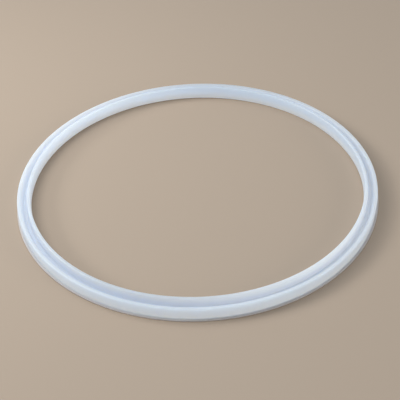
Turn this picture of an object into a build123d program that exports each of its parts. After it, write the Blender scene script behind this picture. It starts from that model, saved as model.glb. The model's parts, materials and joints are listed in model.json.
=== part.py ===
from build123d import *
import os

os.makedirs("parts", exist_ok=True)

# Sealing ring of a pressure cooker lid: one closed band of moulded silicone rubber.
# Millimetres. The ring lies flat on z = 0 with its axis on +Z and its groove open upwards.

# Outer side, from the resting face up
skirt_radius = 120.0        # thin skirt at the foot, the widest part of the ring
skirt_height = 0.7
skirt_edge_round = 0.25
crease_radius = 118.2       # crease that lets the skirt flex
crease_height = 1.1
crease_round = 0.3
wall_radius = 118.8         # outer wall that seats against the rim of the lid
wall_start_height = 1.9
wall_start_round = 1.2

# Outer rim, with a rounded crown that falls towards the groove
rim_corner_height = 9.2     # height of the outer corner before it is rounded to a crown of 8.7
rim_round = 0.8
rim_inner_radius = 116.4
rim_inner_height = 8.0
rim_inner_round = 0.7

# Groove that lets steam press the lip against the pot
groove_outer_radius = 115.0
groove_inner_radius = 112.8
groove_floor_height = 4.4
groove_outer_round = 0.8
groove_inner_round = 0.4

# Sealing lip, taller than the rim, whose inner wall fits round the mouth of the pot
lip_outer_radius = 112.4
lip_outer_round = 1.0
ring_height = 10.0
lip_tip_round = 0.5
bore_radius = 110.3
bore_start_height = 2.6     # below this the inner wall flares to ease the ring on to the pot
bore_start_round = 6.0
foot_inner_radius = 111.0
foot_inner_round = 0.8

# Corners of the moulded section as (radius, height), each with the round on it
section_corners = [
    ((foot_inner_radius, 0.0), foot_inner_round),
    ((skirt_radius, 0.0), skirt_edge_round),
    ((skirt_radius, skirt_height), skirt_edge_round),
    ((crease_radius, crease_height), crease_round),
    ((wall_radius, wall_start_height), wall_start_round),
    ((wall_radius, rim_corner_height), rim_round),
    ((rim_inner_radius, rim_inner_height), rim_inner_round),
    ((groove_outer_radius, groove_floor_height), groove_outer_round),
    ((groove_inner_radius, groove_floor_height), groove_inner_round),
    ((lip_outer_radius, ring_height), lip_outer_round),
    ((bore_radius, ring_height), lip_tip_round),
    ((bore_radius, bore_start_height), bore_start_round),
]
corner_points = [point for point, corner_round in section_corners]

# The section swept once round the axis is the whole ring
with BuildPart() as sealing_ring:
    with BuildSketch(Plane.XZ) as section:
        with BuildLine():
            Polyline(*corner_points, close=True)
        make_face()
        for point, corner_round in section_corners:
            corner = section.vertices().sort_by_distance(point)[0]
            fillet(corner, corner_round)
    revolve(axis=Axis.Z)

sealing_ring.part.label = "sealing_ring"
export_step(sealing_ring.part, "parts/sealing_ring.step")
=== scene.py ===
import json
import math

import bmesh
import bpy
import numpy as np
from mathutils import Matrix, Vector


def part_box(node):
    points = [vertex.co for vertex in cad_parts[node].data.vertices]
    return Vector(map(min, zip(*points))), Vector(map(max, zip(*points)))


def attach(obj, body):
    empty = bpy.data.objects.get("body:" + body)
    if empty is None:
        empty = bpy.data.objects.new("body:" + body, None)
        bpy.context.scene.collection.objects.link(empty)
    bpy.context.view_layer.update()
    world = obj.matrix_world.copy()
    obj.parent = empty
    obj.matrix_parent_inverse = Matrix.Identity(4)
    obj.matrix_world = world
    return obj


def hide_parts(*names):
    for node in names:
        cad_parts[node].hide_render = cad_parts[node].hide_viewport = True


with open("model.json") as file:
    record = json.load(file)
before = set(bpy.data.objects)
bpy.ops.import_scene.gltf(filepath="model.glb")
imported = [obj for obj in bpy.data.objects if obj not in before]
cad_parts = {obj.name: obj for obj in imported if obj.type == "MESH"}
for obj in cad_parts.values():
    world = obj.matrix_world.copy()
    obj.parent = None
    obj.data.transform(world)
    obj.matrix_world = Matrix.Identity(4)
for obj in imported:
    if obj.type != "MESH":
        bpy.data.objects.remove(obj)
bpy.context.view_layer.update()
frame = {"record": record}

# The looks of a silicone sealing ring from a pressure cooker lid, lying flat on a pale floor.
# Metres, in the CAD frame: the ring stands on z = 0 with its axis on +Z and its groove upwards.
MM = 0.001


def mount_radius(name):
    """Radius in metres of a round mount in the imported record."""
    mounts = {mount["name"]: mount for mount in frame["record"]["mounts"]}
    return mounts[name]["dims"]["r_mm"] * MM


# Driving sizes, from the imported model
_, ring_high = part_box("sealing_ring")
SKIRT_RADIUS = ring_high.x
RING_HEIGHT = ring_high.z
WALL_RADIUS = mount_radius("lid_seat")
BORE_RADIUS = mount_radius("lip_bore")

# Foot, thin skirt and the crease above it
FOOT_INNER_RADIUS = BORE_RADIUS + 0.7 * MM
FOOT_INNER_ROUND = 0.8 * MM
SKIRT_HEIGHT = 0.7 * MM
SKIRT_EDGE_ROUND = 0.25 * MM
CREASE_RADIUS = WALL_RADIUS - 0.6 * MM
CREASE_HEIGHT = 1.1 * MM
CREASE_ROUND = 0.3 * MM

# Outer wall, and the rim that falls towards the groove
WALL_START_HEIGHT = 1.9 * MM
WALL_START_ROUND = 1.2 * MM
RIM_CORNER_HEIGHT = RING_HEIGHT - 0.8 * MM
RIM_ROUND = 0.8 * MM
RIM_INNER_RADIUS = WALL_RADIUS - 2.4 * MM
RIM_INNER_HEIGHT = RING_HEIGHT - 2.0 * MM
RIM_INNER_ROUND = 0.7 * MM

# Groove
GROOVE_OUTER_RADIUS = WALL_RADIUS - 3.8 * MM
GROOVE_INNER_RADIUS = BORE_RADIUS + 2.5 * MM
GROOVE_FLOOR_HEIGHT = RING_HEIGHT - 5.6 * MM
GROOVE_OUTER_ROUND = 0.8 * MM
GROOVE_INNER_ROUND = 0.4 * MM

# Sealing lip and inner wall, which flares a little at its foot
LIP_OUTER_RADIUS = BORE_RADIUS + 2.1 * MM
LIP_OUTER_ROUND = 1.0 * MM
LIP_TIP_ROUND = 0.5 * MM
BORE_START_HEIGHT = 2.6 * MM
BORE_START_ROUND = 6.0 * MM

# The moulded section as (radius, height, round), anticlockwise from the inner foot
SECTION = [
    (FOOT_INNER_RADIUS, 0.0, FOOT_INNER_ROUND),
    (SKIRT_RADIUS, 0.0, SKIRT_EDGE_ROUND),
    (SKIRT_RADIUS, SKIRT_HEIGHT, SKIRT_EDGE_ROUND),
    (CREASE_RADIUS, CREASE_HEIGHT, CREASE_ROUND),
    (WALL_RADIUS, WALL_START_HEIGHT, WALL_START_ROUND),
    (WALL_RADIUS, RIM_CORNER_HEIGHT, RIM_ROUND),
    (RIM_INNER_RADIUS, RIM_INNER_HEIGHT, RIM_INNER_ROUND),
    (GROOVE_OUTER_RADIUS, GROOVE_FLOOR_HEIGHT, GROOVE_OUTER_ROUND),
    (GROOVE_INNER_RADIUS, GROOVE_FLOOR_HEIGHT, GROOVE_INNER_ROUND),
    (LIP_OUTER_RADIUS, RING_HEIGHT, LIP_OUTER_ROUND),
    (BORE_RADIUS, RING_HEIGHT, LIP_TIP_ROUND),
    (BORE_RADIUS, BORE_START_HEIGHT, BORE_START_ROUND),
]
ROUND_STEPS = 6             # mesh rows along each round of the section
FLAT_STEP = 0.6 * MM        # longest mesh row on the flats of the section
TURN_STEPS = 720            # mesh columns round the ring and the floor

# The ring is one silicone. Two tints on it are painted light: the skirt is clearer and painted
# warmer, for the floor's light showing through it, and the groove is painted bluer and darker as
# shade, with less light scattering below its surface.
THIN_FROM = WALL_RADIUS - 0.5 * MM
THIN_TO = WALL_RADIUS + 0.5 * MM
THIN_TOP = 1.3 * MM
DEEP_FROM = BORE_RADIUS + 1.6 * MM
DEEP_TO = WALL_RADIUS - 1.8 * MM
DEEP_TOP = RING_HEIGHT - 1.0 * MM
DEEP_FADE = 3.0 * MM        # height over which the groove's painted shade comes in
DEEP_BOTTOM = 2.0 * MM      # below this is the foot, which has no painted groove shade

CLOUD_DIM = (0.815, 0.895, 0.988, 1.0)
CLOUD_BRIGHT = (0.845, 0.918, 0.998, 1.0)
# Painted shade for the groove, bluer and darker than the rest
GROOVE_PAINTED_SHADE = (0.68, 0.78, 0.96, 1.0)
# Painted warm tint on the skirt: the floor's light seen through the thin silicone
SKIRT_PAINTED_FLOOR_TINT = (0.85, 0.76, 0.70, 1.0)
BODY_TRANSMISSION = 0.10
SKIRT_TRANSMISSION = 0.45
GROOVE_SUBSURFACE = 0.86    # subsurface weight down in the groove, against 1 on the rest, to go with its painted shade

# The floor lies a hair below the ring. It is open under the foot, where nothing shows.
FLOOR_RADIUS = 40.0
FLOOR_DROP = 0.02 * MM
OPENING_INNER_RADIUS = BORE_RADIUS + 1.6 * MM
OPENING_OUTER_RADIUS = WALL_RADIUS - 0.6 * MM
FLOOR_DIM = (0.460, 0.345, 0.255, 1.0)
FLOOR_BRIGHT = (0.480, 0.360, 0.267, 1.0)

GLOBE_DISTANCE = 0.55
CAMERA_DISTANCE = 4.267 * WALL_RADIUS


def put_in_scene(name, data):
    """A new object with the given data, linked to the scene."""
    thing = bpy.data.objects.new(name, data)
    bpy.context.scene.collection.objects.link(thing)
    return thing


def round_corner(before, corner, after, radius):
    """Points along the arc that rounds one corner of the section."""
    to_before = (before - corner) / np.linalg.norm(before - corner)
    to_after = (after - corner) / np.linalg.norm(after - corner)
    half_angle = math.acos(float(np.clip(to_before @ to_after, -1, 1))) / 2
    middle = to_before + to_after
    middle = middle / np.linalg.norm(middle)
    centre = corner + middle * radius / math.sin(half_angle)
    reach = radius / math.tan(half_angle)
    start = corner + to_before * reach - centre
    end = corner + to_after * reach - centre
    sweep = math.acos(float(np.clip(start @ end / radius**2, -1, 1)))
    points = []
    for step in range(ROUND_STEPS + 1):
        t = step / ROUND_STEPS
        mix = math.sin((1 - t) * sweep) * start + math.sin(t * sweep) * end
        points.append(centre + mix / math.sin(sweep))
    return points


def section_outline():
    """The closed outline of the section, rounded, with its flats divided evenly."""
    corners = [np.array(row[:2]) for row in SECTION]
    count = len(corners)
    arcs = []
    for i, row in enumerate(SECTION):
        arcs.append(round_corner(corners[i - 1], corners[i], corners[(i + 1) % count], row[2]))
    outline = []
    for i, arc in enumerate(arcs):
        outline += arc
        start, end = arc[-1], arcs[(i + 1) % count][0]
        pieces = max(1, math.ceil(np.linalg.norm(end - start) / FLAT_STEP))
        outline += [start + (end - start) * k / pieces for k in range(1, pieces)]
    return np.array(outline)


def swept_points(outline):
    """The outline's points at each step round the axis, one column after another."""
    turn = np.linspace(0, 2 * math.pi, TURN_STEPS, endpoint=False)
    x = np.outer(np.cos(turn), outline[:, 0])
    y = np.outer(np.sin(turn), outline[:, 0])
    z = np.tile(outline[:, 1], (TURN_STEPS, 1))
    return np.stack([x, y, z], -1).reshape(-1, 3)


def swept_faces(rows):
    """Quads between each pair of neighbouring columns, closed both ways."""
    column, row = np.meshgrid(np.arange(TURN_STEPS), np.arange(rows), indexing="ij")
    next_column = (column + 1) % TURN_STEPS
    next_row = (row + 1) % rows
    return np.stack([
        column * rows + row,
        next_column * rows + row,
        next_column * rows + next_row,
        column * rows + next_row,
    ], -1).reshape(-1, 4)


def write_values(mesh, name, values):
    """A named value on every point of the mesh, for the material to read."""
    attribute = mesh.attributes.new(name, "FLOAT", "POINT")
    attribute.data.foreach_set("value", values.astype(np.float32))


def ring_mesh(name):
    """The section swept once round the axis, with the places of its painted groove shade and its
    painted warm skirt tint.
    """
    outline = section_outline()
    points = swept_points(outline)
    mesh = bpy.data.meshes.new(name)
    mesh.from_pydata(points.tolist(), [], swept_faces(len(outline)).tolist())
    shaped = bmesh.new()
    shaped.from_mesh(mesh)
    bmesh.ops.recalc_face_normals(shaped, faces=shaped.faces)
    shaped.to_mesh(mesh)
    shaped.free()
    mesh.shade_smooth()

    radius = np.hypot(points[:, 0], points[:, 1])
    height = points[:, 2]
    # Where the thin skirt is clearer and gets its painted warm floor tint
    thin = np.clip((radius - THIN_FROM) / (THIN_TO - THIN_FROM), 0, 1)
    write_values(mesh, "thin", thin * (height < THIN_TOP))
    # Where the groove gets its painted shade, fading in downwards from near its top
    groove = np.clip((DEEP_TOP - height) / DEEP_FADE, 0, 1)
    groove = groove * (radius > DEEP_FROM) * (radius < DEEP_TO) * (height > DEEP_BOTTOM)
    write_values(mesh, "groove", groove)
    return mesh


def new_material(name):
    """A material, its node tree and its main shader."""
    material = bpy.data.materials.new(name)
    material.use_nodes = True
    tree = material.node_tree
    return material, tree, tree.nodes["Principled BSDF"]


def add_noise(tree, scale, detail):
    """A noise texture on the tree."""
    noise = tree.nodes.new("ShaderNodeTexNoise")
    noise.inputs["Scale"].default_value = scale
    noise.inputs["Detail"].default_value = detail
    return noise


def add_value(tree, name):
    """The value that the mesh carries under this name."""
    value = tree.nodes.new("ShaderNodeAttribute")
    value.attribute_name = name
    return value.outputs["Fac"]


def add_range(tree, source, low, high):
    """A value that goes from low to high as the source goes from 0 to 1."""
    reach = tree.nodes.new("ShaderNodeMapRange")
    reach.inputs["To Min"].default_value = low
    reach.inputs["To Max"].default_value = high
    tree.links.new(source, reach.inputs["Value"])
    return reach.outputs["Result"]


def add_ramp(tree, source, low, high):
    """A colour ramp over the source, with its two colours still at the ends."""
    ramp = tree.nodes.new("ShaderNodeValToRGB")
    ramp.color_ramp.elements[0].color = low
    ramp.color_ramp.elements[1].color = high
    tree.links.new(source, ramp.inputs["Fac"])
    return ramp


def add_tint(tree, amount, base, tint):
    """The base colour, mixed towards the tint as the amount goes from 0 to 1."""
    mix = tree.nodes.new("ShaderNodeMix")
    mix.data_type = "RGBA"
    mix.inputs["B"].default_value = tint
    tree.links.new(amount, mix.inputs["Factor"])
    tree.links.new(base, mix.inputs["A"])
    return mix.outputs["Result"]


def silicone():
    """Milky translucent silicone rubber with a faint cloudiness and a fine moulded surface."""
    material, tree, shader = new_material("silicone")
    links = tree.links
    shader.inputs["IOR"].default_value = 1.41
    shader.inputs["Subsurface Radius"].default_value = (1.2, 1.05, 0.9)
    shader.inputs["Subsurface Scale"].default_value = 0.03

    place = tree.nodes.new("ShaderNodeTexCoord").outputs["Object"]
    thin = add_value(tree, "thin")
    groove = add_value(tree, "groove")

    # Cloudy colour in soft patches about two centimetres long, then the groove's painted shade
    # and the skirt's painted warm floor tint
    cloud = add_noise(tree, scale=45.0, detail=3.0)
    links.new(place, cloud.inputs["Vector"])
    milk = add_ramp(tree, cloud.outputs["Fac"], CLOUD_DIM, CLOUD_BRIGHT)
    milk.color_ramp.elements[0].position = 0.3
    milk.color_ramp.elements[1].position = 0.7
    # Painted shade in the groove
    color = add_tint(tree, groove, milk.outputs["Color"], GROOVE_PAINTED_SHADE)
    # Painted warm tint on the skirt, for the floor's light showing through it
    color = add_tint(tree, thin, color, SKIRT_PAINTED_FLOOR_TINT)
    links.new(color, shader.inputs["Base Color"])

    # More light goes through the skirt, and none of it scatters below the surface there
    transmission = add_range(tree, thin, BODY_TRANSMISSION, SKIRT_TRANSMISSION)
    links.new(transmission, shader.inputs["Transmission Weight"])
    scatter = tree.nodes.new("ShaderNodeMath")
    scatter.operation = "MULTIPLY"
    links.new(add_range(tree, thin, 1.0, 0.0), scatter.inputs[0])
    # Less light scatters below the surface in the groove, which deepens its painted shade
    links.new(add_range(tree, groove, 1.0, GROOVE_SUBSURFACE), scatter.inputs[1])
    links.new(scatter.outputs["Value"], shader.inputs["Subsurface Weight"])

    # Satin gloss that varies with handling
    smear = add_noise(tree, scale=120.0, detail=4.0)
    links.new(place, smear.inputs["Vector"])
    links.new(add_range(tree, smear.outputs["Fac"], 0.42, 0.50), shader.inputs["Roughness"])

    # Fine grain left by the mould
    grain = add_noise(tree, scale=1400.0, detail=2.0)
    links.new(place, grain.inputs["Vector"])
    bump = tree.nodes.new("ShaderNodeBump")
    bump.inputs["Strength"].default_value = 0.15
    bump.inputs["Distance"].default_value = 0.05 * MM
    links.new(grain.outputs["Fac"], bump.inputs["Height"])
    links.new(bump.outputs["Normal"], shader.inputs["Normal"])
    return material


def floor_paint():
    """Plain pale floor whose tone changes very slightly, over a metre or so."""
    material, tree, shader = new_material("floor_paint")
    shader.inputs["Roughness"].default_value = 0.9
    shader.inputs["Specular IOR Level"].default_value = 0.2
    tone = add_noise(tree, scale=60.0, detail=2.0)
    paint = add_ramp(tree, tone.outputs["Fac"], FLOOR_DIM, FLOOR_BRIGHT)
    tree.links.new(paint.outputs["Color"], shader.inputs["Base Color"])
    return material


def place_ring():
    """The visible ring, which stands for the CAD node."""
    piece = put_in_scene("silicone_ring", ring_mesh("silicone_ring"))
    piece.data.materials.append(silicone())
    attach(piece, "root")
    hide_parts("sealing_ring")


def place_floor():
    """A flat floor: a disc inside the ring, and a wide band from under its wall outwards."""
    points, faces = [(0, 0, -FLOOR_DROP)], []
    for radius in (OPENING_INNER_RADIUS, OPENING_OUTER_RADIUS, FLOOR_RADIUS):
        for k in range(TURN_STEPS):
            turn = 2 * math.pi * k / TURN_STEPS
            points.append((radius * math.cos(turn), radius * math.sin(turn), -FLOOR_DROP))
    inner, outer, edge = (1 + i * TURN_STEPS for i in range(3))
    for k in range(TURN_STEPS):
        after = (k + 1) % TURN_STEPS
        faces.append((0, inner + k, inner + after))
        faces.append((outer + k, edge + k, edge + after, outer + after))
    mesh = bpy.data.meshes.new("floor")
    mesh.from_pydata(points, [], faces)
    floor = put_in_scene("floor", mesh)
    floor.data.materials.append(floor_paint())


def towards(bearing, elevation):
    """The unit vector at a bearing from +X and an elevation, both in degrees."""
    bearing, elevation = math.radians(bearing), math.radians(elevation)
    return Vector((
        math.cos(bearing) * math.cos(elevation),
        math.sin(bearing) * math.cos(elevation),
        math.sin(elevation),
    ))


def far_light(name, bearing, elevation, spread, strength, color):
    """A soft light so far away that it falls evenly; its spread is in degrees."""
    lamp = bpy.data.lights.new(name, "SUN")
    lamp.energy = strength
    lamp.angle = math.radians(spread)
    lamp.color = color
    light = put_in_scene(name, lamp)
    light.rotation_mode = "QUATERNION"
    light.rotation_quaternion = towards(bearing, elevation).to_track_quat("Z", "Y")


def near_light(name, bearing, elevation, distance, radius, power, color):
    """A soft globe near enough for its light to fade from one side of the ring to the other."""
    lamp = bpy.data.lights.new(name, "POINT")
    lamp.energy = power
    lamp.shadow_soft_size = radius
    lamp.color = color
    light = put_in_scene(name, lamp)
    light.location = towards(bearing, elevation) * distance


def place_lights():
    """A pale surround, a near globe and a low window light on the left, a warm fill on the right
    and a sky light behind."""
    world = bpy.data.worlds.new("surround")
    world.use_nodes = True
    background = world.node_tree.nodes["Background"]
    background.inputs["Color"].default_value = (0.76, 0.88, 1.0, 1.0)
    background.inputs["Strength"].default_value = 0.51
    bpy.context.scene.world = world
    near_light(
        "globe", bearing=165, elevation=52, distance=GLOBE_DISTANCE, radius=GLOBE_DISTANCE / 3,
        power=5.7, color=(0.905, 0.96, 1.0))
    far_light(
        "window", bearing=176, elevation=28, spread=18, strength=1.17, color=(0.90, 0.96, 1.0))
    far_light(
        "fill", bearing=-20, elevation=16, spread=38, strength=0.96, color=(0.98, 0.945, 0.89))
    far_light(
        "sky", bearing=90, elevation=66, spread=24, strength=0.35, color=(0.70, 0.85, 1.0))

    # From below, through the floor's opening: it stands in for the light inside milky silicone
    far_light(
        "floor_glow", bearing=0, elevation=-90, spread=60, strength=1.05, color=(1.0, 0.84, 0.68))


def place_camera():
    """A short telephoto in front of the ring, looking down on it, held slightly off level."""
    elevation = math.radians(38.68)
    pitch = math.radians(-1.074)
    yaw = math.radians(-0.175)
    roll = math.radians(2.415)
    position = Vector((0, -math.cos(elevation), math.sin(elevation))) * CAMERA_DISTANCE
    aim = -position.normalized()
    right = Vector((1, 0, 0))
    up = right.cross(aim)
    turn = Matrix.Rotation(pitch, 3, right)
    aim, up = turn @ aim, turn @ up
    turn = Matrix.Rotation(yaw, 3, up)
    aim, right = turn @ aim, turn @ right
    turn = Matrix.Rotation(roll, 3, aim)
    right, up = turn @ right, turn @ up
    lens = bpy.data.cameras.new("camera")
    lens.sensor_width = 36
    lens.lens = 67.5
    lens.clip_start = 0.01
    camera = put_in_scene("camera", lens)
    camera.matrix_world = Matrix((right, up, -aim)).transposed().to_4x4()
    camera.location = position
    bpy.context.scene.camera = camera


place_ring()
place_floor()
place_lights()
place_camera()
bpy.context.scene.view_settings.view_transform = "Standard"
